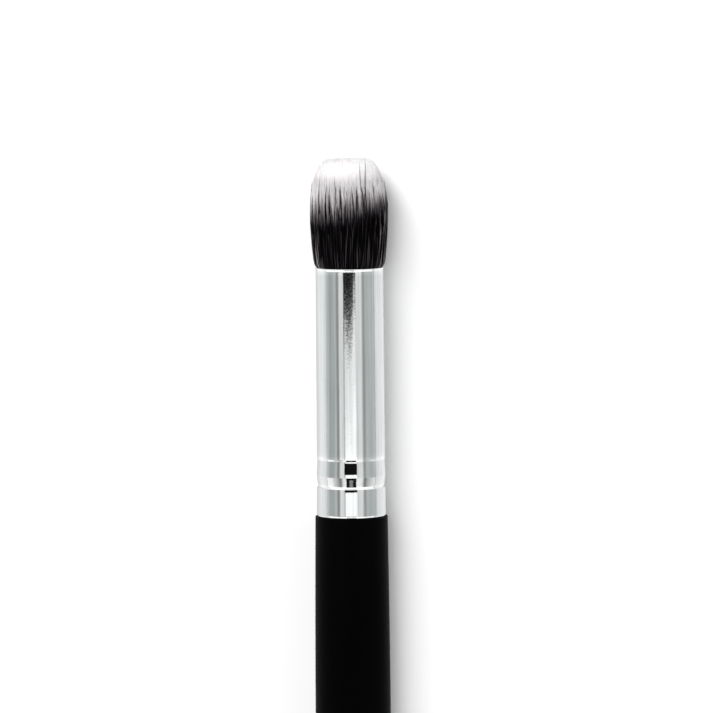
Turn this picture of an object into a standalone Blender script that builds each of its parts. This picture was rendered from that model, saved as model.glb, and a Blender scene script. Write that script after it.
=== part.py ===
"""Blending brush for make-up: a turned handle, a crimped ferrule and a round tuft of two-tone hair.

Metres, +Z up. The brush lies on the ground along Y, with its tuft towards +Y. Every piece is turned
about the +Z axis of one empty that lies along the brush and starts at the butt of the handle, so a
height below is a distance from the butt.
"""

import math
import random

import bmesh
import bpy
from mathutils import Vector
from mathutils.geometry import delaunay_2d_cdt

# Lengths along the brush
HANDLE_LENGTH = 0.118
FERRULE_LENGTH = 0.0414
HAIR_LENGTH = 0.0183

# Gap kept between two pieces that touch on the real brush
SEAT_GAP = 0.0003

# Points closer than this are one point
MERGE_DISTANCE = SEAT_GAP / 30

# Handle
BUTT_FLAT_RADIUS = 0.0018
BUTT_ROUND = 0.0017
BELLY_RADIUS = 0.0063
BELLY_TO_SHOULDER = 0.037
SHOULDER_RADIUS = 0.00604
SHOULDER_ROUND = 0.00012
TENON_CHAMFER = 0.0006

# Air left in the ferrule between the tenon and the resin
AIR_SPACE = 0.004

# Glue groove in the tenon and the ring of glue in it
CRIMP_TO_GLUE_GROOVE = 0.0008
GLUE_GROOVE_DEPTH = 0.0009
GLUE_RING_LENGTH = 0.0025

# Ferrule
FERRULE_MOUTH_RADIUS = 0.00568
FERRULE_FOOT_RADIUS = 0.00577
FERRULE_WALL = 0.00035
FOOT_ROUND = 0.00015
LIP_RADIUS = 0.00025
LIP_FLARE = 0.00008

# Crimp: two grooves, with a straight band and a sloping band between them
CRIMP_TO_FOOT = 0.0049
SLOPING_BAND = 0.002
STRAIGHT_BAND = 0.0027
UPPER_GROOVE_DEPTH = 0.00016
LOWER_GROOVE_DEPTH = 0.0003
GROOVE_HALF_WIDTH = 0.00032
CREASE_DEPTH = 0.00004

# Packed root of the tuft, inside the ferrule
ROOT_DEPTH = 0.0005
ROOT_LENGTH = 0.0095
ROOT_EDGE = 0.0002
THREAD_RADIUS = 0.0002
THREAD_PITCH = 0.0009
THREAD_TO_ROOT_END = 0.0012
ROOT_GLUE_LENGTH = 0.005
ROOT_GLUE_HOLLOW = 0.0008

# Tuft: its radius where the hair has left the lip, at its widest and at the tips
NECK_HEIGHT = 0.0024
NECK_RADIUS = 0.00595
WIDEST_HEIGHT = 0.009
WIDEST_RADIUS = 0.0062
CROWN_RADIUS = 0.006
CROWN_DROP = 0.0046
TIP_SCATTER = 0.0003
SWAY = 0.0001
STRAND_ROOT_RADIUS = 0.00014
STRAND_RADIUS = 0.00023
STRAND_TIP_RADIUS = 0.00006

# Counts and pure numbers
TURN_STEPS = 48
ROOT_STEPS = 36
STRAND_RINGS = 10
FIRST_RING_COUNT = 6
STRAND_SIDES = 3
SWAY_WAVES = 1.5
CROWN_POWER = 4.9
THREAD_TURNS = 3
THREAD_POINTS_PER_TURN = 16
SHARP_ANGLE = math.radians(35)
SEED = 7

# Places along the brush that the pieces share
SHOULDER = HANDLE_LENGTH
BELLY = SHOULDER - BELLY_TO_SHOULDER
FOOT = SHOULDER + SEAT_GAP
MOUTH = FOOT + FERRULE_LENGTH
LOWER_GROOVE = FOOT + CRIMP_TO_FOOT
CREASE = LOWER_GROOVE + SLOPING_BAND
UPPER_GROOVE = CREASE + STRAIGHT_BAND
GLUE_GROOVE_LOW = UPPER_GROOVE + GROOVE_HALF_WIDTH + CRIMP_TO_GLUE_GROOVE
GLUE_GROOVE_HIGH = GLUE_GROOVE_LOW + GLUE_RING_LENGTH + 2 * SEAT_GAP
ROOT_TOP = MOUTH - ROOT_DEPTH
ROOT_END = ROOT_TOP - ROOT_LENGTH
WAIST_LOW = ROOT_END + THREAD_TO_ROOT_END
WAIST_HIGH = WAIST_LOW + THREAD_TURNS * THREAD_PITCH + 2 * THREAD_RADIUS + 2 * SEAT_GAP
ROOT_GLUE_TOP = ROOT_END - SEAT_GAP
ROOT_GLUE_END = ROOT_GLUE_TOP - ROOT_GLUE_LENGTH
TENON_END = ROOT_GLUE_END - AIR_SPACE
TOTAL_LENGTH = MOUTH + HAIR_LENGTH
AXIS_HEIGHT = max(BELLY_RADIUS, WIDEST_RADIUS + SWAY)


def clear_scene():
    """Removes what the scene holds."""
    for item in list(bpy.data.objects):
        bpy.data.objects.remove(item)


def new_collection(name):
    """Adds a collection to the scene."""
    collection = bpy.data.collections.new(name)
    bpy.context.scene.collection.children.link(collection)
    return collection


def new_material(name, colour, roughness, metallic=0.0):
    """Makes a plain Principled material."""
    material = bpy.data.materials.new(name)
    material.use_nodes = True
    material.diffuse_color = (*colour, 1)
    shader = material.node_tree.nodes["Principled BSDF"]
    shader.inputs["Base Color"].default_value = (*colour, 1)
    shader.inputs["Roughness"].default_value = roughness
    shader.inputs["Metallic"].default_value = metallic
    return material


def black_coat_material():
    """Soft matte black coat of the handle."""
    return new_material("black_coat", (0.012, 0.012, 0.013), 0.45)


def plated_metal_material():
    """Bright plated metal of the ferrule."""
    return new_material("plated_metal", (0.83, 0.85, 0.86), 0.12, 1.0)


def two_tone_hair_material():
    """Hair that is black from the root and white at the tip."""
    black = (0.012, 0.01, 0.011)
    white = (0.86, 0.85, 0.84)
    material = new_material("two_tone_hair", black, 0.55)
    nodes = material.node_tree.nodes
    links = material.node_tree.links
    place = nodes.new("ShaderNodeTexCoord")
    split = nodes.new("ShaderNodeSeparateXYZ")
    along = nodes.new("ShaderNodeMapRange")
    ramp = nodes.new("ShaderNodeValToRGB")
    along.inputs["From Min"].default_value = MOUTH
    along.inputs["From Max"].default_value = TOTAL_LENGTH
    ramp.color_ramp.elements[0].color = (*black, 1)
    ramp.color_ramp.elements[0].position = 0.5
    ramp.color_ramp.elements[1].color = (*white, 1)
    ramp.color_ramp.elements[1].position = 0.8
    links.new(place.outputs["Object"], split.inputs["Vector"])
    links.new(split.outputs["Z"], along.inputs["Value"])
    links.new(along.outputs["Result"], ramp.inputs["Fac"])
    links.new(ramp.outputs["Color"], nodes["Principled BSDF"].inputs["Base Color"])
    return material


def thread_material():
    """Off-white cotton thread."""
    return new_material("thread", (0.72, 0.69, 0.62), 0.8)


def resin_material():
    """Amber resin that sets around the hair roots."""
    return new_material("resin", (0.55, 0.38, 0.16), 0.3)


def wood_glue_material():
    """Pale glue that sets around the tenon."""
    return new_material("wood_glue", (0.78, 0.72, 0.52), 0.5)


def arc(centre_radius, centre_height, size, start, end, steps):
    """Points of an arc in the outline's plane, from one angle in degrees to another."""
    points = []
    for step in range(steps + 1):
        angle = math.radians(start + (end - start) * step / steps)
        radius = centre_radius + size * math.cos(angle)
        height = centre_height + size * math.sin(angle)
        points.append((radius, height))
    return points


def place_in_brush(item, collection, axis, material):
    """Puts a piece on the brush's axis with its material."""
    collection.objects.link(item)
    item.parent = axis
    item.data.materials.clear()
    item.data.materials.append(material)


def shade(mesh):
    """Shades a round piece smooth and keeps its edges crisp."""
    mesh.shade_smooth()
    mesh.set_sharp_from_angle(angle=SHARP_ANGLE)


def turned(name, outline, closed, collection, axis, material):
    """Turns an outline of (radius, height) points about the brush's axis.

    The outline runs down the outer side. An open one starts and ends on the axis.
    """
    mesh = bpy.data.meshes.new(name)
    corners = [(radius, 0, height) for radius, height in outline]
    edges = [(index, index + 1) for index in range(len(corners) - 1)]
    if closed:
        edges.append((len(corners) - 1, 0))
    mesh.from_pydata(corners, edges, [])
    piece = bpy.data.objects.new(name, mesh)
    place_in_brush(piece, collection, axis, material)
    screw = piece.modifiers.new("turn", "SCREW")
    screw.axis = "Z"
    screw.angle = math.tau
    screw.steps = TURN_STEPS
    screw.render_steps = TURN_STEPS
    screw.use_merge_vertices = True
    screw.merge_threshold = MERGE_DISTANCE
    bpy.context.view_layer.update()
    finished = bpy.data.meshes.new_from_object(piece.evaluated_get(bpy.context.evaluated_depsgraph_get()))
    finished.name = name
    piece.modifiers.clear()
    piece.data = finished
    bpy.data.meshes.remove(mesh)
    shade(finished)
    return piece


def ferrule_radius(height):
    """Outer radius of the plain tapered ferrule."""
    share = (height - FOOT) / FERRULE_LENGTH
    return FERRULE_FOOT_RADIUS + (FERRULE_MOUTH_RADIUS - FERRULE_FOOT_RADIUS) * share


def bore_radius(height):
    """Inner radius of the plain tapered ferrule."""
    return ferrule_radius(height) - FERRULE_WALL


def core_radius(height):
    """Radius of whatever fills the bore there."""
    return bore_radius(height) - SEAT_GAP


def crimp_outline():
    """Outer outline of the crimp, from above its upper groove to below its lower one."""
    marks = [
        (UPPER_GROOVE + GROOVE_HALF_WIDTH, 0),
        (UPPER_GROOVE, UPPER_GROOVE_DEPTH),
        (UPPER_GROOVE - GROOVE_HALF_WIDTH, 0),
        (CREASE + GROOVE_HALF_WIDTH, 0),
        (CREASE, CREASE_DEPTH),
        (LOWER_GROOVE + GROOVE_HALF_WIDTH, LOWER_GROOVE_DEPTH - CREASE_DEPTH),
        (LOWER_GROOVE, LOWER_GROOVE_DEPTH),
        (LOWER_GROOVE - GROOVE_HALF_WIDTH, 0),
    ]
    return [(ferrule_radius(height) - depth, height) for height, depth in marks]


def ferrule_outline():
    """Closed outline of the ferrule's wall, down the outer side and up the bore."""
    lip_radius = FERRULE_MOUTH_RADIUS + LIP_FLARE - LIP_RADIUS
    lip_height = MOUTH - LIP_RADIUS
    lip = arc(lip_radius, lip_height, LIP_RADIUS, 180, -30, 7)
    neck = MOUTH - 2 * LIP_RADIUS - LIP_FLARE
    foot_radius = FERRULE_FOOT_RADIUS - FOOT_ROUND
    foot = arc(foot_radius, FOOT + FOOT_ROUND, FOOT_ROUND, 0, -90, 3)
    crimp = crimp_outline()
    inner_crimp = [(radius - FERRULE_WALL, height) for radius, height in reversed(crimp)]
    outer = lip + [(ferrule_radius(neck), neck)] + crimp + foot
    inner = [(bore_radius(FOOT), FOOT)] + inner_crimp + [(bore_radius(neck), neck)]
    return outer + inner


def glue_groove_radius():
    """Radius of the tenon at the floor of its glue groove."""
    return core_radius(GLUE_GROOVE_HIGH) - GLUE_GROOVE_DEPTH


def tenon_outline():
    """Tenon from the middle of its end down to the shoulder, with the glue groove and the crimp marks."""
    chamfer_height = TENON_END - TENON_CHAMFER
    groove_radius = glue_groove_radius()
    points = [
        (0, TENON_END),
        (core_radius(TENON_END) - TENON_CHAMFER, TENON_END),
        (core_radius(chamfer_height), chamfer_height),
        (core_radius(GLUE_GROOVE_HIGH), GLUE_GROOVE_HIGH),
        (groove_radius, GLUE_GROOVE_HIGH),
        (groove_radius, GLUE_GROOVE_LOW),
        (core_radius(GLUE_GROOVE_LOW), GLUE_GROOVE_LOW),
    ]
    points += [(radius - FERRULE_WALL - SEAT_GAP, height) for radius, height in crimp_outline()]
    points.append((core_radius(SHOULDER), SHOULDER))
    return points


def grip_outline():
    """Outside of the handle, from the shoulder over the belly and along the taper to the butt."""
    points = arc(SHOULDER_RADIUS - SHOULDER_ROUND, SHOULDER - SHOULDER_ROUND, SHOULDER_ROUND, 90, 0, 3)
    belly_steps = 8
    for step in range(1, belly_steps + 1):
        share = step / belly_steps
        rise = math.sin(share * math.pi / 2)
        radius = SHOULDER_RADIUS + (BELLY_RADIUS - SHOULDER_RADIUS) * rise
        start = SHOULDER - SHOULDER_ROUND
        points.append((radius, start + (BELLY - start) * share))
    end_radius = BUTT_FLAT_RADIUS + BUTT_ROUND
    taper_steps = 14
    for step in range(1, taper_steps):
        share = 1 - step / taper_steps
        radius = end_radius + (BELLY_RADIUS - end_radius) * math.sin(share * math.pi / 2)
        points.append((radius, BUTT_ROUND + (BELLY - BUTT_ROUND) * share))
    points += arc(BUTT_FLAT_RADIUS, BUTT_ROUND, BUTT_ROUND, 0, -90, 6)
    points.append((0, 0))
    return points


def add_handle(collection, axis, material):
    """Turned wooden handle with its tenon."""
    turned("handle", tenon_outline() + grip_outline(), False, collection, axis, material)


def add_ferrule(collection, axis, material):
    """Thin metal tube with a rolled lip and a double crimp."""
    turned("ferrule", ferrule_outline(), True, collection, axis, material)


def add_handle_glue(collection, axis, material):
    """Ring of glue in the tenon's groove."""
    high = GLUE_GROOVE_HIGH - SEAT_GAP
    low = GLUE_GROOVE_LOW + SEAT_GAP
    inner = glue_groove_radius() + SEAT_GAP
    outline = [(inner, high), (core_radius(high), high), (core_radius(low), low), (inner, low)]
    turned("handle_glue", outline, True, collection, axis, material)


def add_root_glue(collection, axis, material):
    """Plug of set resin under the packed root, hollowed below where it crept up the bore."""
    rim = core_radius(ROOT_GLUE_END)
    outline = [(0, ROOT_GLUE_TOP), (core_radius(ROOT_GLUE_TOP), ROOT_GLUE_TOP), (rim, ROOT_GLUE_END)]
    hollow_steps = 6
    for step in range(1, hollow_steps + 1):
        share = 1 - step / hollow_steps
        height = ROOT_GLUE_END + ROOT_GLUE_HOLLOW * (1 - share * share)
        outline.append((rim * share, height))
    turned("root_glue", outline, False, collection, axis, material)


def waist_radius():
    """Radius of the packed root under the binding thread."""
    return core_radius(WAIST_LOW) - 2 * THREAD_RADIUS - SEAT_GAP


def thread_points():
    """Centre line of the binding thread, a helix round the waist of the root."""
    radius = waist_radius() + SEAT_GAP + THREAD_RADIUS
    start = WAIST_LOW + SEAT_GAP + THREAD_RADIUS
    points = []
    for step in range(THREAD_TURNS * THREAD_POINTS_PER_TURN + 1):
        turn = step / THREAD_POINTS_PER_TURN
        angle = math.tau * turn
        height = start + THREAD_PITCH * turn
        points.append(Vector((radius * math.cos(angle), radius * math.sin(angle), height)))
    return points


def print_thread_gap(points):
    """Measures how close the thread comes to itself, between points half a turn or more apart."""
    apart = THREAD_POINTS_PER_TURN // 2
    gaps = []
    for first, point in enumerate(points):
        for other in points[first + apart:]:
            gaps.append((point - other).length - 2 * THREAD_RADIUS)
    print(f"binding_thread: least gap to itself {min(gaps) * 1000:.2f} mm")


def add_binding_thread(collection, axis, material):
    """Thread wound round the root of the hair bundle."""
    points = thread_points()
    print_thread_gap(points)
    curve = bpy.data.curves.new("binding_thread", "CURVE")
    curve.dimensions = "3D"
    curve.bevel_depth = THREAD_RADIUS
    curve.bevel_resolution = 1
    curve.use_fill_caps = True
    spline = curve.splines.new("POLY")
    spline.points.add(len(points) - 1)
    for target, point in zip(spline.points, points):
        target.co = (*point, 1)
    place_in_brush(bpy.data.objects.new("binding_thread", curve), collection, axis, material)


def strand_places():
    """Places of the strands on the root, in rings, as a share of its radius and an angle."""
    golden_angle = math.pi * (3 - math.sqrt(5))
    places = [(0, 0)]
    for ring in range(1, STRAND_RINGS + 1):
        count = FIRST_RING_COUNT * ring
        for index in range(count):
            angle = ring * golden_angle + math.tau * index / count
            places.append((ring / STRAND_RINGS, angle))
    return places


def sway(x, y, rise_share):
    """Sideways drift of the hair, smooth across the tuft so that no two strands cross."""
    waves = math.tau * SWAY_WAVES / WIDEST_RADIUS
    drift_x = math.sin(waves * y + rise_share)
    drift_y = math.cos(waves * x - rise_share)
    return drift_x * SWAY * rise_share, drift_y * SWAY * rise_share


def strand_centre(place, tuft_radius, strand_radius, height):
    """Middle of a strand at a height where the tuft has that radius."""
    share, angle = place
    reach = share * (tuft_radius - strand_radius)
    x = reach * math.cos(angle)
    y = reach * math.sin(angle)
    drift_x, drift_y = sway(x, y, (height - ROOT_TOP) / (TOTAL_LENGTH - ROOT_TOP))
    return Vector((x + drift_x, y + drift_y, height))


def root_sections(places):
    """Section of every strand where it leaves the packed root."""
    bundle_radius = core_radius(ROOT_TOP) - ROOT_EDGE
    sections = []
    for place in places:
        centre = strand_centre(place, bundle_radius, STRAND_ROOT_RADIUS, ROOT_TOP)
        corners = []
        for corner in range(STRAND_SIDES):
            turn = place[1] + math.tau * corner / STRAND_SIDES
            arm = Vector((math.cos(turn), math.sin(turn))) * STRAND_ROOT_RADIUS
            corners.append(centre.xy + arm)
        sections.append(corners)
    return sections


def add_root_top(bm, sections, strand_layer):
    """Flat top of the packed root, cut so that every strand's section is a face of its own."""
    radius = core_radius(ROOT_TOP)
    points = []
    for step in range(ROOT_STEPS):
        angle = math.tau * step / ROOT_STEPS
        points.append(Vector((radius * math.cos(angle), radius * math.sin(angle))))
    loops = [list(range(ROOT_STEPS))]
    for corners in sections:
        loops.append(list(range(len(points), len(points) + STRAND_SIDES)))
        points += corners
    cut = delaunay_2d_cdt(points, [], loops, 1, MERGE_DISTANCE)
    corners, faces, sources = cut[0], cut[2], cut[5]
    vertices = [bm.verts.new((corner.x, corner.y, ROOT_TOP)) for corner in corners]
    roots = []
    for face, source in zip(faces, sources):
        made = bm.faces.new([vertices[index] for index in face])
        made[strand_layer] = max(source) - 1
        if made[strand_layer] >= 0:
            roots.append(made)
    return roots


def add_root_sides(bm):
    """Side of the packed root, drawn in under the binding thread, and its closed end."""
    rim_radius = core_radius(ROOT_TOP)
    outline = [
        (core_radius(WAIST_HIGH), WAIST_HIGH),
        (waist_radius(), WAIST_HIGH),
        (waist_radius(), WAIST_LOW),
        (core_radius(WAIST_LOW), WAIST_LOW),
        (core_radius(ROOT_END), ROOT_END),
    ]
    ring = [edge for edge in bm.edges if edge.is_boundary]
    for radius, height in outline:
        made = bmesh.ops.extrude_edge_only(bm, edges=ring)["geom"]
        ring = [item for item in made if isinstance(item, bmesh.types.BMEdge)]
        for vertex in [item for item in made if isinstance(item, bmesh.types.BMVert)]:
            vertex.co.xy *= radius / rim_radius
            vertex.co.z = height
        rim_radius = radius
    bmesh.ops.edgeloop_fill(bm, edges=ring)


def grow(bm, ends, centres, radii, strand_layer):
    """Grows every strand from its end face to its next section. Returns the new end faces."""
    grown = bmesh.ops.extrude_discrete_faces(bm, faces=ends)["faces"]
    for face in grown:
        strand = face[strand_layer]
        middle = face.calc_center_median()
        for vertex in face.verts:
            vertex.co = centres[strand] + (vertex.co - middle).normalized() * radii[strand]
    return grown


def strand_levels(place, scatter):
    """Sections of one strand above the root, as (tuft radius, strand radius, height)."""
    drop = CROWN_DROP * place[0] ** CROWN_POWER
    tip = TOTAL_LENGTH - drop - TIP_SCATTER * scatter.random()
    return [
        (NECK_RADIUS, STRAND_RADIUS, MOUTH + NECK_HEIGHT),
        (WIDEST_RADIUS, STRAND_RADIUS, MOUTH + WIDEST_HEIGHT),
        (CROWN_RADIUS, STRAND_TIP_RADIUS, tip),
    ]


def add_hair_tuft(collection, axis, material):
    """Tuft of strands that grow from one packed root."""
    scatter = random.Random(SEED)
    places = strand_places()
    bm = bmesh.new()
    strand_layer = bm.faces.layers.int.new("strand")
    ends = add_root_top(bm, root_sections(places), strand_layer)
    add_root_sides(bm)
    levels = [strand_levels(place, scatter) for place in places]
    for level in zip(*levels):
        centres = [strand_centre(place, *section) for place, section in zip(places, level)]
        radii = [section[1] for section in level]
        ends = grow(bm, ends, centres, radii, strand_layer)
    bm.faces.layers.int.remove(strand_layer)
    bmesh.ops.recalc_face_normals(bm, faces=bm.faces)
    mesh = bpy.data.meshes.new("hair_tuft")
    bm.to_mesh(mesh)
    bm.free()
    shade(mesh)
    place_in_brush(bpy.data.objects.new("hair_tuft", mesh), collection, axis, material)


def add_brush_axis(collection):
    """Empty whose +Z runs along the brush, from the butt of the handle to the tip of the hair."""
    axis = bpy.data.objects.new("brush_axis", None)
    axis.location = (0, -TOTAL_LENGTH / 2, AXIS_HEIGHT)
    axis.rotation_euler = (-math.pi / 2, 0, 0)
    axis.empty_display_size = BELLY_RADIUS
    collection.objects.link(axis)
    return axis


def build_brush():
    """Builds every piece of the brush."""
    clear_scene()
    collection = new_collection("blending_brush")
    axis = add_brush_axis(collection)
    bpy.context.view_layer.update()
    add_handle(collection, axis, black_coat_material())
    add_ferrule(collection, axis, plated_metal_material())
    add_hair_tuft(collection, axis, two_tone_hair_material())
    add_binding_thread(collection, axis, thread_material())
    add_root_glue(collection, axis, resin_material())
    add_handle_glue(collection, axis, wood_glue_material())
    bpy.context.view_layer.update()


build_brush()
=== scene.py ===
"""Looks of a blending brush: a crimped ferrule, thousands of tapered hairs and a soft matte handle."""
import math

import bpy
import numpy as np
from mathutils import Matrix, Vector


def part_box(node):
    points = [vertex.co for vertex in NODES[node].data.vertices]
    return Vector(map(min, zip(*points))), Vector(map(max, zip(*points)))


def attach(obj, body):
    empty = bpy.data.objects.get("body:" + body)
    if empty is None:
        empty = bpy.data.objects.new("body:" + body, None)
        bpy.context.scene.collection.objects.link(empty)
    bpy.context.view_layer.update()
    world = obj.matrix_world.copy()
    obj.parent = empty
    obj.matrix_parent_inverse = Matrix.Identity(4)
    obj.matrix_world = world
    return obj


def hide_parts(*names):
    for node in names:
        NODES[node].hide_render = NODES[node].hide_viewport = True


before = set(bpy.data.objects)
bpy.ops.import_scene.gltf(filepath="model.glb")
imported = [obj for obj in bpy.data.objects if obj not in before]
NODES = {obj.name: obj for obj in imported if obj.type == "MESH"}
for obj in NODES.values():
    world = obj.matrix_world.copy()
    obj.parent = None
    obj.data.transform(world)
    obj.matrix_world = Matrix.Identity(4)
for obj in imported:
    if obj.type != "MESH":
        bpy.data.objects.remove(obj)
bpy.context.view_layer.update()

MM = 0.001
MICRON = 0.000001
SEED = 11

# Places along the brush, and the brush's axis over the surface that it lies on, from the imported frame
FERRULE_LOW, FERRULE_HIGH = (Vector(corner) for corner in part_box("ferrule"))
HANDLE_LOW, HANDLE_HIGH = (Vector(corner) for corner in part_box("handle"))
GLUE_LOW, GLUE_HIGH = (Vector(corner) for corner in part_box("handle_glue"))
AXIS_Z = (FERRULE_LOW.z + FERRULE_HIGH.z) / 2
MOUTH_Y = FERRULE_HIGH.y
SEAT_GAP = 0.3 * MM
SHOULDER_Y = FERRULE_LOW.y - 0.22 * MM
FOOT_Y = SHOULDER_Y + 0.04 * MM

# Camera, from the photograph
EYE = Vector((1.05, 139.0, 988.0)) * MM
AIM = Vector((1.05, 55.75, 6.3)) * MM
LENS_MM = 298.6
SENSOR_MM = 36
ROLL = math.radians(0.49)

# Soft box: its level, its size and distance in metres, and how far to the left and ahead in degrees
LAMP_RADIANCE = 9.3
LAMP_WIDTH = 0.46
LAMP_LENGTH = 1.3
LAMP_DISTANCE = 1.2
LAMP_LEFT = 22
LAMP_AHEAD = 28

# Levels of light, where 1 is white: the share of the studio that lights matte things, what its right side
# adds, the card that the brush lies on, the lift that whitens it for the camera, its painted darker colour
# in the metal's reflection, the bright ceiling, and the white that the steep sides of the grooves mirror
DIFFUSE_SHARE = 0.19
FILL_SHARE = 1.55
CARD_COLOUR = 0.84
CARD_LIFT = 0.125
CARD_PAINTED_IN_METAL = 0.67
BRIGHT = 1.27
FAR_WHITE = 1.1


class Nodes:
    """Adds nodes to a tree. Wherever a value is read, an output, a number or a colour may be given."""

    def __init__(self, tree):
        self.tree = tree

    def add(self, kind, **settings):
        node = self.tree.nodes.new(kind)
        for key, value in settings.items():
            setattr(node, key, value)
        return node

    def feed(self, item, socket):
        if isinstance(item, bpy.types.NodeSocket):
            self.tree.links.new(item, socket)
        elif isinstance(item, tuple):
            socket.default_value = (*item, 1)
        else:
            socket.default_value = item

    def math(self, operation, *items):
        node = self.add("ShaderNodeMath", operation=operation)
        for item, socket in zip(items, node.inputs):
            self.feed(item, socket)
        return node.outputs["Value"]

    def split(self, source):
        node = self.add("ShaderNodeSeparateXYZ")
        self.feed(source, node.inputs["Vector"])
        return node.outputs

    def span(self, source, low, high, to_low=0.0, to_high=1.0, kind="LINEAR"):
        node = self.add("ShaderNodeMapRange", interpolation_type=kind)
        for key, item in (("From Min", low), ("From Max", high), ("To Min", to_low), ("To Max", to_high)):
            node.inputs[key].default_value = item
        self.feed(source, node.inputs["Value"])
        return node.outputs["Result"]

    def step(self, source, low, high):
        """0 at the first value and 1 at the second, with an eased step between."""
        return self.span(source, low, high, kind="SMOOTHSTEP")

    def ramp(self, source, stops, low=0.0, high=1.0):
        """A colour read off a ramp, whose stops pair a place from low to high with a colour or level."""
        node = self.add("ShaderNodeValToRGB")
        elements = node.color_ramp.elements
        elements.remove(elements[-1])
        for index, (place, colour) in enumerate(stops):
            share = (place - low) / (high - low)
            element = elements[0] if index == 0 else elements.new(share)
            element.position = share
            element.color = (*(colour if isinstance(colour, tuple) else grey(colour)), 1)
        self.feed(self.span(source, low, high), node.inputs["Fac"])
        return node.outputs["Color"]

    def mix(self, share, first, second, blend="MIX"):
        node = self.add("ShaderNodeMix", data_type="RGBA", blend_type=blend)
        for index, item in ((0, share), (6, first), (7, second)):
            self.feed(item, node.inputs[index])
        return node.outputs[2]


class Look(Nodes):
    """A material built from nodes that read the object's own place."""

    def __init__(self, name):
        self.material = bpy.data.materials.new(name)
        self.material.use_nodes = True
        super().__init__(self.material.node_tree)
        self.shader = self.tree.nodes["Principled BSDF"]
        self.place = self.add("ShaderNodeTexCoord").outputs["Object"]

    def set(self, socket, item):
        self.feed(item, self.shader.inputs[socket])

    def noise(self, scale, stretch=(1, 1, 1), detail=3.0, rough=0.5):
        mapping = self.add("ShaderNodeMapping")
        mapping.inputs["Scale"].default_value = stretch
        self.feed(self.place, mapping.inputs["Vector"])
        noise = self.add("ShaderNodeTexNoise")
        noise.inputs["Scale"].default_value = scale
        noise.inputs["Detail"].default_value = detail
        noise.inputs["Roughness"].default_value = rough
        self.feed(mapping.outputs["Vector"], noise.inputs["Vector"])
        return noise.outputs["Fac"]

    def value(self, name):
        return self.add("ShaderNodeAttribute", attribute_name=name).outputs["Fac"]

    def bump(self, height, distance, before=None):
        node = self.add("ShaderNodeBump")
        node.inputs["Distance"].default_value = distance
        self.feed(height, node.inputs["Height"])
        if before is not None:
            self.feed(before, node.inputs["Normal"])
        return node.outputs["Normal"]


def grey(level):
    return (level, level, level)


def cool(level):
    return (level * 0.975, level * 1.02, level * 1.02)


def metal_look():
    """Bright plating over drawn brass, with faint lines, a fine uneven skin and painted highlight bands."""
    look = Look("plating")
    lines = look.noise(1500, stretch=(1, 0.01, 1), detail=4.0, rough=0.6)
    ripples = look.noise(2200, stretch=(1, 0.12, 1), detail=3.0)
    skin = look.noise(5200, stretch=(1, 0.8, 1), detail=2.0)
    pits = look.noise(2700, stretch=(1, 0.9, 1), detail=1.0)
    clouds = look.noise(260, stretch=(1, 0.5, 1), detail=2.0)
    streaks = look.noise(2600, stretch=(1, 0.012, 1), detail=2.0, rough=0.6)
    drawn = look.math("ADD", look.math("MULTIPLY", clouds, 0.25), look.math("MULTIPLY", streaks, 0.75))
    plain = look.ramp(drawn, [(0.3, (0.655, 0.68, 0.677)), (0.7, (0.845, 0.865, 0.863))])
    along = look.math("DIVIDE", look.split(look.place)["Y"], MM)
    # Painted highlights: brighter plating at the foot, over the two grooves and at the lip, at places in mm
    # along the brush
    painted_highlight_bands = look.ramp(along, [
        (28, 0.5), (29.3, 0.5), (29.6, 0), (34.0, 0), (34.15, 1), (34.5, 1), (34.7, 0.35), (36.0, 0.3),
        (36.2, 0), (38.55, 0), (38.75, 1), (39.1, 1), (39.4, 0.2), (40.2, 0), (69.4, 0), (70.1, 0.5),
        (70.4, 1), (72, 1),
    ], 28, 72)
    look.set("Base Color", look.mix(painted_highlight_bands, plain, (0.955, 0.97, 0.97)))
    rough = look.math("ADD", look.span(lines, 0.35, 0.65, 0.0, 0.015), look.span(skin, 0.3, 0.7, 0.02, 0.03))
    look.set("Roughness", rough)
    uneven = look.bump(skin, 0.3 * MICRON, before=look.bump(pits, 0.6 * MICRON))
    uneven = look.bump(ripples, 4 * MICRON, before=uneven)
    look.set("Normal", look.bump(lines, 4 * MICRON, before=uneven))
    look.set("Metallic", 1.0)
    return look.material


def coat_look():
    """Soft matte black coat with the faint unevenness of a dipped finish, smoothed by rubbing."""
    look = Look("matte_coat")
    fine = look.noise(3200, rough=0.6)
    broad = look.noise(120, stretch=(1, 0.4, 1), detail=2.0)
    tint = look.ramp(broad, [(0.3, (0.0006, 0.0006, 0.0007)), (0.7, (0.0011, 0.0011, 0.0012))])
    look.set("Base Color", tint)
    look.set("Roughness", look.span(fine, 0.3, 0.7, 0.4, 0.52))
    look.set("Normal", look.bump(fine, 4 * MICRON))
    look.set("Specular IOR Level", 0.014)
    return look.material


def hair_look():
    """Two-tone hair, black below and white at its tips. tone is how far a place on a hair has paled; on some
    hairs it also carries painted light.
    """
    look = Look("two_tone_fibre")
    tone = look.value("tone")
    speck = look.noise(2500, stretch=(1, 0.25, 1), detail=2.0)
    eased = look.math("MULTIPLY", tone, look.span(speck, 0.3, 0.7, 0.95, 1.05))
    look.set("Base Color", look.ramp(eased, [
        (0.0, (0.0009, 0.0008, 0.001)),
        (0.04, (0.026, 0.023, 0.026)),
        (0.09, (0.083, 0.074, 0.08)),
        (0.18, (0.18, 0.162, 0.172)),
        (0.27, (0.315, 0.29, 0.3)),
        (0.36, (0.505, 0.475, 0.49)),
        (0.45, (0.67, 0.64, 0.655)),
        (0.54, (0.785, 0.76, 0.77)),
        (0.63, (0.86, 0.84, 0.85)),
        (0.72, (0.915, 0.9, 0.905)),
        (0.82, (0.95, 0.94, 0.94)),
        (0.91, (0.975, 0.965, 0.965)),
        (1.0, (0.99, 0.985, 0.985)),
    ]))
    look.set("Roughness", look.span(look.value("shade"), 0.0, 1.0, 0.6, 0.45))
    look.set("Normal", look.bump(speck, 2 * MICRON))
    look.set("Specular IOR Level", 0.02)
    return look.material


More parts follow.
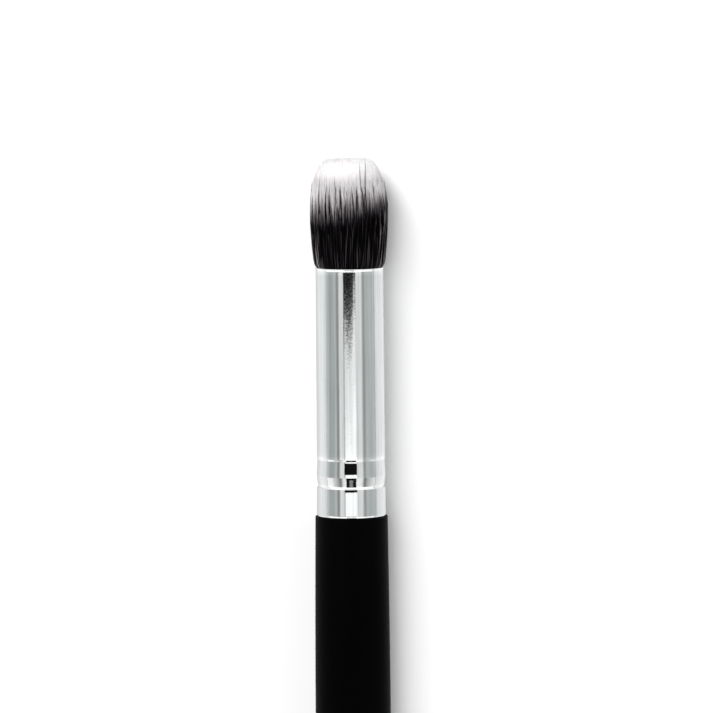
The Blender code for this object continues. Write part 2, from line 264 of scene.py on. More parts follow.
def thread_look():
    """Undyed twisted thread."""
    look = Look("twisted_thread")
    fibre = look.noise(9000, stretch=(1, 0.4, 1), rough=0.6)
    look.set("Base Color", look.ramp(fibre, [(0.3, (0.45, 0.42, 0.34)), (0.7, (0.78, 0.75, 0.66))]))
    look.set("Roughness", look.span(fibre, 0.3, 0.7, 0.7, 0.9))
    look.set("Normal", look.bump(fibre, 20 * MICRON))
    return look.material


def glue_look(name, low, high, rough):
    """Set glue with slow clouds and small bubbles."""
    look = Look(name)
    clouds = look.noise(700)
    bubbles = look.noise(4000, detail=1.0)
    look.set("Base Color", look.ramp(clouds, [(0.3, low), (0.7, high)]))
    look.set("Roughness", look.span(bubbles, 0.3, 0.7, rough, rough + 0.15))
    look.set("Normal", look.bump(bubbles, 20 * MICRON))
    return look.material


def floor_look():
    """Pale card, lifted to white where the camera sees it, under the shadow too.

    In the metal it shows a darker painted colour and a painted glow, whitest close by and fading where it runs
    off, with painted shade close left of the brush and a painted lift over its shadow on the right.
    """
    look = Look("white_card")
    grain = look.noise(30, rough=0.6)
    rays = look.add("ShaderNodeLightPath").outputs
    plain = look.ramp(grain, [(0.3, CARD_COLOUR - 0.005), (0.7, CARD_COLOUR + 0.005)])
    # Painted shade in reflections: where the metal mirrors the card, the card takes a darker colour
    look.set("Base Color", look.mix(rays["Is Glossy Ray"], plain, grey(CARD_PAINTED_IN_METAL)))
    look.set("Roughness", look.span(grain, 0.3, 0.7, 0.88, 0.95))
    look.set("Specular IOR Level", 0.0)
    across = look.math("DIVIDE", look.split(look.place)["X"], MM)
    # Painted glow seen only in the metal, by place across the brush in mm: whitest close by, fading further
    # out, painted shade close left of the brush and a painted lift over its shadow on the right
    painted_reflection_glow = look.ramp(across, [
        (-200, 0.0), (-64, 0.06), (-22, 0.24), (-15, 0.24), (-10.5, 0.05), (-8, 0.0), (5, 0.0), (8.5, 0.33),
        (11, 0.31), (20, 0.14), (86, 0.06), (200, 0.0),
    ], -200, 200)
    straight = look.math("MAXIMUM", rays["Is Camera Ray"], rays["Is Transmission Ray"])
    seen = look.math("MULTIPLY", straight, CARD_LIFT)
    first = look.math("SUBTRACT", 1.0, look.math("MINIMUM", rays["Diffuse Depth"], 1.0))
    painted_glow_seen_in_metal = look.math("MULTIPLY", look.math("MULTIPLY", rays["Is Glossy Ray"], first), painted_reflection_glow)
    look.set("Emission Strength", look.math("ADD", seen, painted_glow_seen_in_metal))
    look.set("Emission Color", (1, 1, 1))
    return look.material


def add_world():
    """A studio round the brush, which the metal mirrors: a bright ceiling, strips, walls and the dark camera.

    side is an angle across the brush from overhead, and slope one along it towards the tip, in degrees.
    """
    world = bpy.data.worlds.new("studio")
    bpy.context.scene.world = world
    world.use_nodes = True
    nodes = Nodes(world.node_tree)
    across, along, up = nodes.split(nodes.add("ShaderNodeTexCoord").outputs["Generated"])
    side = nodes.math("DEGREES", nodes.math("ARCTAN2", across, up))
    squares = nodes.math("ADD", nodes.math("MULTIPLY", across, across), nodes.math("MULTIPLY", up, up))
    slope = nodes.math("DEGREES", nodes.math("ARCTAN2", along, nodes.math("SQRT", squares)))
    off = nodes.math("ABSOLUTE", side)

    # What the tube mirrors, what the grooves mirror from behind the brush, and the white past both
    room = nodes.ramp(side, [
        (-90, cool(0.68)), (-73, cool(0.45)), (-57, cool(0.485)), (-53, cool(0.55)), (-49.5, cool(0.54)),
        (-46.5, 0.36), (-41.5, 0.27), (-36.5, 0.86), (-24.5, 0.86), (-22.5, 0.6), (-20.5, 0.6), (-17, BRIGHT),
        (17, BRIGHT), (22.5, 0.74), (26, 0.86), (37, 0.9), (44.5, 0.38), (47.5, 0.38), (54.5, cool(0.55)),
        (70, cool(0.52)), (90, cool(0.6)),
    ], -90, 90)
    behind = nodes.ramp(side, [
        (-90, 1.1), (-70, 1.05), (-58, 0.65), (-50, 0.54), (-38, 0.24), (-35, 0.27), (-27, 0.86), (-18, 0.97),
        (18, 1.0), (37, 0.95), (46, 0.24), (49, 0.22), (57, 0.45), (72, 0.7), (90, 0.9),
    ], -90, 90)
    shown = nodes.mix(nodes.step(slope, -9.0, -13.0), room, behind)
    shown = nodes.mix(nodes.step(slope, -23.5, -24.8), shown, grey(FAR_WHITE))
    far = nodes.math("MAXIMUM", nodes.step(slope, 6.0, 14.0), nodes.step(slope, -28.0, -32.0))
    shown = nodes.mix(far, shown, grey(BRIGHT))

    # The camera overhead is dark. Its edge towards the handle fades, and sooner says by how many degrees it
    # does so earlier at each side.
    near_end = nodes.step(slope, 20.0, 16.0)
    sooner = nodes.ramp(side, [
        (-23, 0.06), (-15, 0.1), (-10, 0.0), (2, 0.0), (8, 0.1), (13, 0.45), (23, 0.36),
    ], -23, 23)
    camera = nodes.ramp(nodes.math("SUBTRACT", slope, sooner), [
        (-5.5, 1.0), (-5.2, 0.82), (-4.7, 0.8), (-4.48, 0.52), (-4.28, 0.13), (-4.17, 0.015), (-3.9, 0.006),
    ], -5.5, -3.9)
    inside = nodes.math("MULTIPLY", nodes.step(side, -22.8, -21.2), nodes.step(side, 20.8, 19.2))
    darker = nodes.mix(1.0, shown, camera, "MULTIPLY")
    shown = nodes.mix(nodes.math("MULTIPLY", inside, near_end), shown, darker)

    # A dark stand behind the brush, with a paler gap in its middle
    stand = nodes.math("MULTIPLY", nodes.step(slope, -12.5, -13.5), nodes.step(slope, -32.0, -30.0))
    stand = nodes.math("MULTIPLY", stand, nodes.step(off, 18.5, 16.5))
    shown = nodes.mix(stand, shown, grey(0.008))
    from_gap = nodes.math("MULTIPLY", nodes.math("ADD", slope, 20.0), 1.7)
    gap = nodes.math("ADD", nodes.math("MULTIPLY", from_gap, from_gap), nodes.math("MULTIPLY", side, side))
    shown = nodes.mix(nodes.step(gap, 75.0, 18.0), shown, grey(0.26))

    # The camera sees plain white, and matte things get less of the studio's light
    rays = nodes.add("ShaderNodeLightPath").outputs
    backdrop = nodes.tree.nodes["Background"].inputs
    nodes.feed(nodes.mix(rays["Is Camera Ray"], shown, grey(1.0)), backdrop["Color"])
    fill = nodes.math("MULTIPLY", nodes.math("POWER", nodes.math("MAXIMUM", across, 0.0), 3.0), FILL_SHARE)
    lost = nodes.math("SUBTRACT", 1 - DIFFUSE_SHARE, fill)
    dim = nodes.math("MULTIPLY", nodes.math("MINIMUM", rays["Diffuse Depth"], 1.0), lost)
    nodes.feed(nodes.math("SUBTRACT", 1.0, dim), backdrop["Strength"])


def add_lamp():
    """Broad soft box to the left of the brush and ahead of its tip, which throws the shadow to the right."""
    light = bpy.data.lights.new("soft_box", "AREA")
    light.shape = "RECTANGLE"
    light.size = LAMP_WIDTH
    light.size_y = LAMP_LENGTH
    light.energy = LAMP_RADIANCE * math.pi * light.size * light.size_y
    lamp = bpy.data.objects.new("soft_box", light)
    bpy.context.scene.collection.objects.link(lamp)
    left, ahead = (math.tan(math.radians(angle)) for angle in (LAMP_LEFT, LAMP_AHEAD))
    towards = Vector((-left, ahead, 1)).normalized()
    lamp.location = towards * LAMP_DISTANCE
    lamp.rotation_euler = towards.to_track_quat("Z", "Y").to_euler()
    lamp.visible_camera = False
    lamp.visible_glossy = False


def add_camera():
    data = bpy.data.cameras.new("camera")
    data.lens = LENS_MM
    data.sensor_width = SENSOR_MM
    data.clip_start = 0.05
    camera = bpy.data.objects.new("camera", data)
    bpy.context.scene.collection.objects.link(camera)
    ahead = (AIM - EYE).normalized()
    right = ahead.cross(Vector((0, 1, 0))).normalized()
    up = right.cross(ahead) * math.cos(ROLL) + right * math.sin(ROLL)
    right = ahead.cross(up)
    camera.matrix_world = Matrix((
        (right.x, up.x, -ahead.x, EYE.x),
        (right.y, up.y, -ahead.y, EYE.y),
        (right.z, up.z, -ahead.z, EYE.z),
        (0, 0, 0, 1),
    ))
    bpy.context.scene.camera = camera


def add_floor(material):
    """Round card in rings, wide enough that no view sees past its edge."""
    radii = [0.3, 1.0, 3.0, 8.0]
    steps = 64
    points = [(0, 0, 0)]
    for radius in radii:
        turns = [math.tau * step / steps for step in range(steps)]
        points += [(radius * math.cos(turn), radius * math.sin(turn), 0) for turn in turns]
    faces = []
    for step in range(steps):
        after = (step + 1) % steps
        faces.append((0, 1 + step, 1 + after))
        for ring in range(len(radii) - 1):
            low = 1 + ring * steps
            high = low + steps
            faces.append((low + step, high + step, high + after, low + after))
    add_mesh("floor", points, faces, material)


def add_mesh(name, points, faces, material):
    mesh = bpy.data.meshes.new(name)
    mesh.from_pydata(points, [], faces)
    mesh.materials.append(material)
    mesh.shade_smooth()
    item = bpy.data.objects.new(name, mesh)
    bpy.context.scene.collection.objects.link(item)
    return item


def dress(item, slot, *nodes):
    """Makes a piece ride on the brush in place of its nodes."""
    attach(item, "root")
    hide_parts(*nodes)


def give_values(item, **values):
    """Writes one number per vertex under each name, for the material to read."""
    for name, numbers in values.items():
        layer = item.data.attributes.new(name, "FLOAT", "POINT")
        layer.data.foreach_set("value", np.asarray(numbers, np.float32).ravel())


def lathe(name, outline, steps, material, closed):
    """Turns an outline of (radius, y) pairs, in metres, about the brush's axis.

    It runs against +Y on the outer side. A closed one goes back to its first pair, an open one starts
    and ends on the axis.
    """
    turns = np.arange(steps) * math.tau / steps
    points = []
    rows = []
    for radius, y in outline:
        if radius < MM / 1000:
            rows.append([len(points)])
            points.append((0, y, AXIS_Z))
        else:
            rows.append(list(range(len(points), len(points) + steps)))
            points += [(radius * math.cos(turn), y, AXIS_Z + radius * math.sin(turn)) for turn in turns]
    pairs = list(zip(rows, rows[1:] + rows[:1])) if closed else list(zip(rows, rows[1:]))
    faces = []
    for first, second in pairs:
        for step in range(steps):
            after = (step + 1) % steps
            if len(first) == 1:
                faces.append((first[0], second[after], second[step]))
            elif len(second) == 1:
                faces.append((first[step], first[after], second[0]))
            else:
                faces.append((first[step], first[after], second[after], second[step]))
    return add_mesh(name, points, faces, material)


def arc(radius, y, size, start, end, steps):
    """Points of an arc of the given size in an outline, between two angles in degrees."""
    turns = [math.radians(start + (end - start) * step / steps) for step in range(steps + 1)]
    return [(radius + size * math.cos(turn), y + size * math.sin(turn)) for turn in turns]


# Ferrule, in mm: its radii, its wall, the size of its rolled lip and the flare of that in degrees, its
# rounded foot, and how far its wall lies inside the plain tube at places along the brush. The lower groove
# and its sloping bead come first, then the crease, the straight bead, the upper groove, the tube and its
# flare.
MOUTH_RADIUS = 5.68
FOOT_RADIUS = 5.77
WALL = 0.35
LIP = 0.16
LIP_FLARE = 22
FOOT_EDGE = 0.14
FERRULE_STEPS = 192
CRIMP = np.array([
    (33.71, 0), (33.87, 0.008), (34.03, 0.019), (34.05, 0.05), (34.1, 0.25), (34.13, 0.266), (34.16, 0.268),
    (34.19, 0.262), (34.36, 0.2008), (34.6, 0.166), (34.9, 0.1228), (35.28, 0.067), (35.6, 0.0306),
    (35.95, 0.0026), (36.1, 0), (36.5, 0), (36.75, 0.005), (38.15, 0.083), (38.3, 0.089), (38.4, 0.0915),
    (38.52, 0.0915), (38.62, 0.0885), (38.7, 0.083), (38.85, 0.0545), (38.94, 0.0485), (39.1, 0.044),
    (39.25, 0.0395), (39.42, 0.037), (40.0, 0.032), (40.8, 0.03), (70.22, 0.03), (70.5, -0.04),
])


def wall_radius(places):
    """Outer radius of the tapered and crimped tube at places along it, its corners slightly rounded."""
    places = np.asarray(places, float)
    near = np.arange(-0.075, 0.08, 0.0075)
    weight = np.exp(-0.5 * (near / 0.025) ** 2)
    spots = places[..., None] + near
    depth = (np.interp(spots, CRIMP[:, 0], CRIMP[:, 1]) * weight).sum(-1) / weight.sum()
    share = (places - FOOT_Y / MM) / ((MOUTH_Y - FOOT_Y) / MM)
    return FOOT_RADIUS + (MOUTH_RADIUS - FOOT_RADIUS) * share - depth


def add_ferrule():
    """Thin tube with a flared and rolled lip, two crimp grooves and a foot that is turned in."""
    mouth, foot = MOUTH_Y / MM, FOOT_Y / MM
    neck = mouth - LIP - LIP * math.sin(math.radians(LIP_FLARE))
    lip_radius = float(wall_radius(neck)) - LIP * math.cos(math.radians(LIP_FLARE))
    outline = arc(lip_radius, mouth - LIP, LIP, 180, -LIP_FLARE, 18)
    # Rows of the outside from the lip down, close together at the flare and over the grooves
    fine = 0.03
    places = [*np.arange(neck - fine, 69.6, -fine), 69.3, 68.8, *np.linspace(68, 41, 28), 40.6, 40.2, 39.9]
    places += [*np.arange(39.7, 33.7, -fine), 33.4, 33.0, 32.5, 31.9, 31.3, 30.6, 30.0]
    places += [*np.linspace(29.7, foot + FOOT_EDGE, 8)]
    places = np.array(places)
    turned_in = 0.07 * smoothstep((foot + 0.42 - places) / 0.3)
    outside = wall_radius(places) - turned_in
    outline += zip(outside, places)
    outline += arc(outside[-1] - FOOT_EDGE, foot + FOOT_EDGE, FOOT_EDGE, -10, -90, 6)
    bore = np.array([foot, 33.6, *np.arange(33.8, 39.6, 0.15), 40.0, 69.6])
    outline += zip(wall_radius(bore) - WALL, bore)
    outline.append((lip_radius - LIP - 0.02, mouth - 2 * LIP))
    outline = [(radius * MM, y * MM) for radius, y in outline]
    dress(lathe("ferrule_tube", outline, FERRULE_STEPS, metal_look(), True), "plated_metal", "ferrule")


# Handle, in mm: its radii at the shoulder and the belly, the belly's distance from the shoulder, the flat and
# the rounding of the butt, the small corners of the shoulder and the tenon, and the depth of the glue groove
SHOULDER_RADIUS = 6.04
BELLY_RADIUS = 6.3
BELLY_TO_SHOULDER = 37.0
BUTT_FLAT_RADIUS = 1.8
BUTT_ROUND = 1.7
SHOULDER_CORNER = 0.07
TENON_CHAMFER = 0.6
GLUE_GROOVE = 0.9
HANDLE_STEPS = 160


def tenon_outline():
    """Tenon in the ferrule, with a mark under each crimp and the groove that holds the ring of glue."""
    gap = SEAT_GAP / MM
    end = HANDLE_HIGH.y / MM
    groove = [GLUE_HIGH.y / MM + gap, GLUE_LOW.y / MM - gap]
    groove_radius = float(wall_radius(groove[0])) - WALL - gap - GLUE_GROOVE
    under_crimps = np.arange(39.6, 33.2, -0.15)
    marks = np.array([end - TENON_CHAMFER, *groove, *under_crimps, SHOULDER_Y / MM])
    outside = wall_radius(marks) - WALL - gap
    outline = [(0, end), (outside[0] - TENON_CHAMFER, end), (outside[0], marks[0]), (outside[1], groove[0])]
    return outline + [(groove_radius, groove[0]), (groove_radius, groove[1]), *zip(outside[2:], marks[2:])]


def swell(radius, y, belly, steps):
    """Points from a place on the handle to its belly, along which it thickens as a quarter of a wave does."""
    shares = np.linspace(0, 1, steps)
    rise = (BELLY_RADIUS - radius) * np.sin(shares * math.pi / 2)
    return list(zip(radius + rise, y + (belly - y) * shares))


def grip_outline():
    """Outside of the handle, from the shoulder over the belly and along the taper to the flat of the butt."""
    shoulder, butt = SHOULDER_Y / MM, HANDLE_LOW.y / MM
    belly = shoulder - BELLY_TO_SHOULDER
    corner = SHOULDER_CORNER
    outline = arc(SHOULDER_RADIUS - corner, shoulder - corner, corner, 90, 0, 4)
    outline += swell(SHOULDER_RADIUS, shoulder, belly, 20)[1:]
    outline += swell(BUTT_FLAT_RADIUS + BUTT_ROUND, butt + BUTT_ROUND, belly, 40)[-2:0:-1]
    outline += arc(BUTT_FLAT_RADIUS, butt + BUTT_ROUND, BUTT_ROUND, 0, -90, 12)
    outline.append((0, butt))
    return outline


def add_handle():
    outline = [(radius * MM, y * MM) for radius, y in tenon_outline() + grip_outline()]
    item = lathe("handle_body", outline, HANDLE_STEPS, coat_look(), False)
    item.data.set_sharp_from_angle(angle=math.radians(35))
    dress(item, "black_coat", "handle")


# Tuft, in mm: its length and its radius at heights over the ferrule's mouth
HAIR_LENGTH = 18.3
ENVELOPE = np.array([
    (-1.2, 4.93), (-0.6, 5.03), (-0.3, 5.2), (0.0, 5.42), (0.12, 5.58), (0.3, 5.73), (0.6, 5.85), (1.6, 6.0),
    (3.6, 6.2), (5.6, 6.33), (7.5, 6.45), (10.6, 6.47), (12.25, 6.35), (13.25, 6.2), (14.25, 6.06),
    (15.25, 5.9), (16.25, 5.76), (18.6, 5.5),
])

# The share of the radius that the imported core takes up, the tuft's lean to one side, how far hair stays over
# the floor, the lowest levels of every hair, and how many hairs there are of each kind
CORE_SHARE = 0.93
LEAN = 0.15
FLOOR_GAP = 0.02
LIP_LEVELS = [-1.1, -0.3, 0.0, 0.25, 0.7, 1.6]
DARK_HAIRS = 2600
PALE_HAIRS = 1900
GREY_HAIRS = 120
CROWN_HAIRS = 3800
PALE_LOCKS = 210
CROWN_LOCKS = 420
CORE_STEPS = 200


def envelope(heights):
    """Radius of the tuft at heights over the ferrule's mouth."""
    spots = np.linspace(-1.2, 18.6, 200)
    rough = np.interp(spots, ENVELOPE[:, 0], ENVELOPE[:, 1])
    near = np.exp(-0.5 * np.arange(-4, 5) ** 2)
    smooth = np.convolve(np.pad(rough, 4, mode="edge"), near / near.sum(), mode="valid")
    return np.interp(heights, spots, smooth)


def crown(share):
    """Height of the flat-topped dome over the mouth for a share of the tuft's radius."""
    return HAIR_LENGTH - 4.3 * np.abs(share) ** 8


def smoothstep(value):
    value = np.clip(value, 0, 1)
    return value * value * (3 - 2 * value)


def paleness(heights, start, span):
    """How far hair has paled at a height: black up to the start and white where the span ends."""
    return np.clip((heights - start) / span, 0, 1)


def dome_paleness(heights):
    """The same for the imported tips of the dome, which take the light more squarely."""
    levels = [0, 0.36, 0.44, 0.51, 0.58, 0.73, 0.9]
    return np.interp(heights, [6.3, 13, 14.25, 15.25, 16.25, 17.5, 18.3], levels)


def sunflower(count, low, high, rng, jitter):
    """Places spread evenly over a ring of the tuft, as (x, y) shares of its radius."""
    index = np.arange(count) + 0.5
    share = np.sqrt(low * low + (high * high - low * low) * index / count)
    turn = index * math.pi * (3 - math.sqrt(5))
    place = np.stack([share * np.cos(turn), share * np.sin(turn)], 1)
    return place + rng.normal(0, jitter, place.shape)


def held_in(place, limit=1.0):
    """The same places, none further out than the limit."""
    out = np.linalg.norm(place, axis=-1, keepdims=True)
    return place * np.minimum(1, limit / np.maximum(out, 1e-9))


def hair_paths(place, guide, pull, heights, sway, rng):
    """Places of every hair at its levels, shape (hairs, levels, 2), as shares of the tuft's radius.

    place and guide are where a hair and its lock stand, and pull is how far the lock has drawn it in.
    """
    count = len(place)
    at = place[:, None, :] + (guide - place)[:, None, :] * pull[:, :, None]
    risen = np.clip(heights / HAIR_LENGTH, 0, 1)[:, :, None]
    for size, waves in ((sway, (0.5, 1.1)), (sway * 0.35, (1.6, 3.0))):
        wave = rng.uniform(*waves, (count, 1, 2)) * math.tau
        start = rng.uniform(0, math.tau, (count, 1, 2))
        at = at + size / BELLY_RADIUS * np.sin(wave * risen + start) * np.minimum(1, 2.5 * risen)
    return at


def to_mm(at, heights, radii):
    """Turns shares of the tuft's radius into mm from the axis and the mouth, and keeps hairs off the floor.

    The top of the tuft leans a little to one side.
    """
    reach = envelope(heights)[:, :, None] - radii[:, :, None]
    flat = at * reach
    flat[:, :, 0] -= LEAN * smoothstep((heights - 8) / 7)
    low = np.maximum(flat[:, :, 1], radii + FLOOR_GAP - AXIS_Z / MM)
    return np.stack([flat[:, :, 0], heights, low], 2)


def add_hairs(name, paths, radii, tone, shade, rng, material):
    """Tapered three-sided hairs, each closed at its root and drawn to a point at its tip."""
    count, levels, _ = paths.shape
    turn = rng.uniform(0, math.tau, (count, 1, 1)) + np.arange(3)[None, None, :] * math.tau / 3
    ring = np.zeros((count, levels - 1, 3, 3))
    ring[..., 0] = paths[:, :-1, None, 0] + radii[:, :-1, None] * np.cos(turn)
    ring[..., 1] = paths[:, :-1, None, 1]
    ring[..., 2] = paths[:, :-1, None, 2] + radii[:, :-1, None] * np.sin(turn)
    block = np.concatenate([ring.reshape(count, -1, 3), paths[:, -1:, :]], 1)
    points = block.reshape(-1, 3) * MM + np.array([0, MOUTH_Y, AXIS_Z])
    each = block.shape[1]
    faces = [(0, 1, 2)]
    for level in range(levels - 2):
        for side in range(3):
            a, b = 3 * level + side, 3 * level + (side + 1) % 3
            faces.append((a, a + 3, b + 3, b))
    last = 3 * (levels - 2)
    for side in range(3):
        faces.append((last + side, each - 1, last + (side + 1) % 3))
    everything = [tuple(hair * each + corner for corner in face) for hair in range(count) for face in faces]
    item = add_mesh(name, points.tolist(), everything, material)
    tones = np.concatenate([np.repeat(tone[:, :-1], 3, axis=1), tone[:, -1:]], 1)
    give_values(item, tone=tones, shade=np.repeat(shade, each))
    dress(item, "two_tone_hair", "hair_tuft")


def nearest(place, centres):
    """Index of the lock that each hair belongs to, and how far away that is in shares of the radius."""
    apart = np.linalg.norm(place[:, None, :] - centres[None, :, :], axis=2)
    index = apart.argmin(1)
    return index, apart[np.arange(len(place)), index]


def taper(share, thick, tip, start):
    """Radius of a hair at a share of its length: thick up to start, then down to the tip."""
    fall = np.clip((share - start) / (1 - start), 0, 1)
    return thick * (1 - fall ** 1.5) + tip * fall ** 1.5


def level_heights(lengths, levels):
    """Levels for every hair: close together where it bends over the lip, even from there to its tip."""
    low = np.array(LIP_LEVELS)
    share = np.linspace(0, 1, levels + 1)[1:]
    rest = low[-1] + (lengths[:, None] - low[-1]) * share[None, :]
    return np.concatenate([np.repeat(low[None, :], len(lengths), 0), rest], 1)


def add_dark_hairs(rng, material):
    """Shorter black hair on the outside, drawn into long pointed locks that end at uneven heights.

    Its tips are a little greyer, and on the right the locks are shorter and more even.
    """
    place = held_in(sunflower(DARK_HAIRS, CORE_SHARE, 1.0, rng, 0.003))
    rings = []
    for count, share, shorter in ((46, 0.985, 0.0), (42, 0.955, 1.1)):
        turn = (np.arange(count) + rng.uniform(-0.3, 0.3, count)) * math.tau / count
        near = share + rng.normal(0, 0.008, count)
        rings.append(np.stack([near * np.cos(turn), near * np.sin(turn), np.full(count, shorter)], 1))
    rings = np.concatenate(rings)
    centres = rings[:, :2]
    side = centres[:, 0] / np.linalg.norm(centres, axis=1)
    reach = 14.2 - 2 * side ** 2 - rings[:, 2] + 0.5 * rng.normal(0, 1, len(centres))
    fall = 42 - 46 * np.maximum(side, 0)
    lock, away = nearest(place, centres)
    lengths = np.clip(reach[lock] - fall[lock] * away + rng.normal(0, 0.3, len(place)), 6.5, 15.2)
    heights = level_heights(lengths, 8)
    drawn = smoothstep((heights - 5) / (reach[lock][:, None] - 5)) * rng.uniform(0.35, 0.8, (len(place), 1))
    radii = taper(np.clip(heights / lengths[:, None], 0, 1), 0.06, 0.01, 0.6)
    radii = radii * rng.uniform(0.8, 1.15, (len(place), 1))
    guide = centres[lock]
    at = hair_paths(place, guide, drawn, heights, 0.06, rng)
    wave_turn = rng.uniform(0, math.tau, len(centres))[lock][:, None]
    lean = 0.03 * np.sin(heights / 3.2 + wave_turn) * smoothstep(heights / 5)
    tangent = np.stack([-guide[:, 1], guide[:, 0]], 1)
    at = held_in(at + lean[:, :, None] * tangent[:, None, :])
    greyed = smoothstep((heights / lengths[:, None] - 0.68) / 0.3)
    tone = 0.09 * greyed + rng.uniform(0, 0.006, (len(place), 1))
    shade = rng.uniform(0, 1, len(place))
    add_hairs("hair_dark", to_mm(at, heights, radii), radii, tone, shade, rng, material)


def add_pale_hairs(rng, material):
    """Longer hair between the dark locks, dark at its root and white from about half its height."""
    place = held_in(sunflower(PALE_HAIRS, CORE_SHARE, 1.0, rng, 0.004))
    lengths = crown(np.linalg.norm(place, axis=1)) - np.abs(rng.normal(0, 0.6, len(place))) - 0.05
    heights = level_heights(lengths, 9)
    centres = held_in(sunflower(PALE_LOCKS, CORE_SHARE, 0.98, rng, 0.006))
    lock, _ = nearest(place, centres)
    drawn = smoothstep(heights / 16) * rng.uniform(0.1, 0.45, (len(place), 1))
    radii = taper(np.clip(heights / lengths[:, None], 0, 1), 0.048, 0.012, 0.6)
    radii = radii * rng.uniform(0.85, 1.15, (len(place), 1))
    at = held_in(hair_paths(place, centres[lock], drawn, heights, 0.12, rng), 1.01)
    right = np.maximum(place[:, 0], 0)
    start = 7.7 + 0.8 * place[:, 0] + 1.8 * right + np.clip(rng.normal(0, 0.5, len(place)), -0.8, 1)
    # Partly painted light: on the right the white comes over a shorter span, brightening the side that the
    # lamp leaves in shade; the start there also comes later
    span = 9.2 - 5.4 * right
    tone = paleness(heights, start[:, None], span[:, None])
    shade = rng.uniform(0.5, 1, len(place))
    add_hairs("hair_pale", to_mm(at, heights, radii), radii, tone, shade, rng, material)


def add_grey_hairs(rng, material):
    """Greyer hairs over the black ones, which show as thin wavy lines, with painted glints and painted sheen
    low at the sides.
    """
    count = GREY_HAIRS
    turn = (np.arange(count) + rng.uniform(-0.4, 0.4, count)) * math.tau / count
    place = 1.006 * np.stack([np.cos(turn), np.sin(turn)], 1)
    right = np.maximum(place[:, 0], 0)
    lengths = rng.uniform(6.0, 11.0, count) + 1.5 * right
    heights = level_heights(lengths, 12)
    radii = taper(np.clip(heights / lengths[:, None], 0, 1), 0.05, 0.015, 0.7)
    at = hair_paths(place, place, np.zeros_like(heights), heights, 0.26, rng)
    level = rng.uniform(0.03, 0.11, count)[:, None]
    below = 7 + 5 * right[:, None]
    # Painted sheen: the hairs brighten low down at the left and right sides of the tuft
    corner = smoothstep((np.abs(place[:, :1]) - 0.7) / 0.15) * smoothstep((below - heights) / 3)
    corner = corner * rng.uniform(0, 1, (count, 1))
    # Painted glints that come and go along each hair
    painted_glint = 0.55 + 0.45 * np.sin(heights / 1.5 + rng.uniform(0, math.tau, (count, 1)))
    tone = (level + 0.3 * corner) * painted_glint
    shade = np.full(count, 0.5)
    add_hairs("hair_grey", to_mm(held_in(at, 1.012), heights, radii), radii, tone, shade, rng, material)


def add_crown_hairs(rng, material):
    """Tips of the inner hair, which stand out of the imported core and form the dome."""
    place = sunflower(CROWN_HAIRS, 0.0, CORE_SHARE, rng, 0.006)
    share = np.linalg.norm(place, axis=1)
    lengths = crown(share) - np.minimum(np.abs(rng.normal(0, 0.3, len(place))), 0.9)
    low = crown(share) - 1.8
    rise = np.linspace(0, 1, 5)[None, :]
    heights = low[:, None] + (lengths - low)[:, None] * rise
    centres = sunflower(CROWN_LOCKS, 0.0, CORE_SHARE, rng, 0.012)
    lock, _ = nearest(place, centres)
    drawn = smoothstep(rise) * rng.uniform(0.05, 0.3, (len(place), 1))
    radii = taper(np.repeat(rise, len(place), 0), 0.058, 0.014, 0.2)
    at = hair_paths(place, centres[lock], drawn, heights, 0.08, rng)
    shade = np.full(len(place), 0.8)
    # Painted light: on the right the tips pale as if up to about 2 mm higher, brightening the side that the
    # lamp leaves in shade
    tone = dome_paleness(heights + 2 * np.maximum(place[:, :1], 0))
    add_hairs("hair_crown", to_mm(at, heights, radii), radii, tone, shade, rng, material)


def add_stray_hairs(rng, material):
    """Single dark hairs that reach the top, and a few that stand off the side of the tuft.

    Each has a place round the tuft in degrees, a height in mm and a share of the tuft's radius. The first
    two are the long ones, and the first leans to the right as it rises.
    """
    turns = [64.4, 68.0, 31, 112, 140, 205, 250, 300, 335, 171, 12, 95]
    tops = [18.75, 18.1, 15.4, 15.6, 15.2, 16.9, 17.6, 16.2, 14.9, 14.6, 14.8, 14.6]
    outs = [1.015, 0.95, 0.97, 0.96, 0.985, 0.96, 0.95, 0.97, 0.99, 1.0, 1.0, 0.97]
    turn = np.radians(turns)
    place = np.array(outs)[:, None] * np.stack([np.cos(turn), np.sin(turn)], 1)
    lengths = np.array(tops)
    heights = level_heights(lengths, 10)
    radii = taper(np.clip(heights / lengths[:, None], 0, 1), 0.062, 0.02, 0.7)
    drawn = np.zeros_like(heights)
    drawn[0] = smoothstep((heights[0] - 11) / 8)
    guide = place.copy()
    guide[0] = (0.54, 0.79)
    radii[0] *= 1.3
    at = hair_paths(place, guide, drawn, heights, 0.16, rng)
    tone = np.full(heights.shape, 0.02)
    shade = rng.uniform(0, 1, len(place))
    add_hairs("hair_strays", to_mm(at, heights, radii), radii, tone, shade, rng, material)


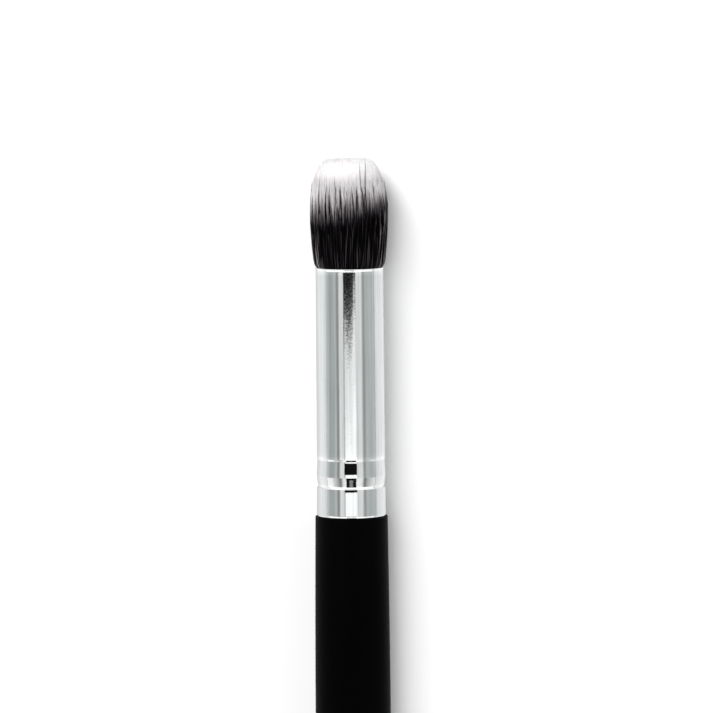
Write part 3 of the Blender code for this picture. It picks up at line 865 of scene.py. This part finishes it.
def add_hair_core(material):
    """Packed inner hair: the tied root in the ferrule and the dense middle of the tuft."""
    outline = [(0, -10.0), (4.9, -10.0), (5.02, -9.9), (5.03, -8.8), (4.34, -8.75), (4.34, -5.1)]
    outline += [(5.03, -5.05), (5.03, -0.6), (4.95, -0.5), (4.75, -0.42)]
    outline += [(CORE_SHARE * envelope(height), height) for height in np.linspace(0.2, 13.6, 36)]
    for share in CORE_SHARE * (1 - np.linspace(0, 1, 15) ** 1.5)[1:]:
        outline.append((share * envelope(crown(share) - 0.6), crown(share) - 0.6))
    outline = [(radius * MM, MOUTH_Y + height * MM) for radius, height in reversed(outline)]
    item = lathe("hair_core", outline, CORE_STEPS, material, False)
    points = np.zeros(len(item.data.vertices) * 3, np.float32)
    item.data.vertices.foreach_get("co", points)
    points = points.reshape(-1, 3)
    heights = (points[:, 1] - MOUTH_Y) / MM
    # Fine ridges down its side, and the same lean as the hairs have
    turn = np.arctan2(points[:, 2] - AXIS_Z, points[:, 0])
    ridge = 0.008 * np.sin(turn * 47 + 0.9 * np.sin(heights * 0.5)) + 0.006 * np.sin(turn * 71 + 1.3)
    ridge *= smoothstep((heights - 0.5) / 1.0)
    points[:, 0] = points[:, 0] * (1 + ridge) - LEAN * MM * smoothstep((heights - 8) / 7)
    points[:, 2] = AXIS_Z + (points[:, 2] - AXIS_Z) * (1 + ridge)
    item.data.vertices.foreach_set("co", points.ravel())
    item.data.update()
    give_values(item, tone=dome_paleness(heights), shade=np.full(len(heights), 0.7))
    dress(item, "two_tone_hair", "hair_tuft")


def add_hair():
    material = hair_look()
    add_hair_core(material)
    makers = (add_dark_hairs, add_pale_hairs, add_grey_hairs, add_crown_hairs, add_stray_hairs)
    for index, make in enumerate(makers):
        make(np.random.default_rng(SEED + index), material)


def repaint(name, material):
    """Gives a solid of the frame a better material."""
    for slot in NODES[name].material_slots:
        slot.material = material


add_camera()
add_world()
add_lamp()
add_floor(floor_look())
add_ferrule()
add_handle()
add_hair()
repaint("binding_thread", thread_look())
repaint("root_glue", glue_look("set_resin", (0.42, 0.27, 0.09), (0.62, 0.44, 0.2), 0.15))
repaint("handle_glue", glue_look("dried_glue", (0.66, 0.6, 0.42), (0.8, 0.74, 0.56), 0.5))

bpy.context.scene.view_settings.view_transform = "Standard"
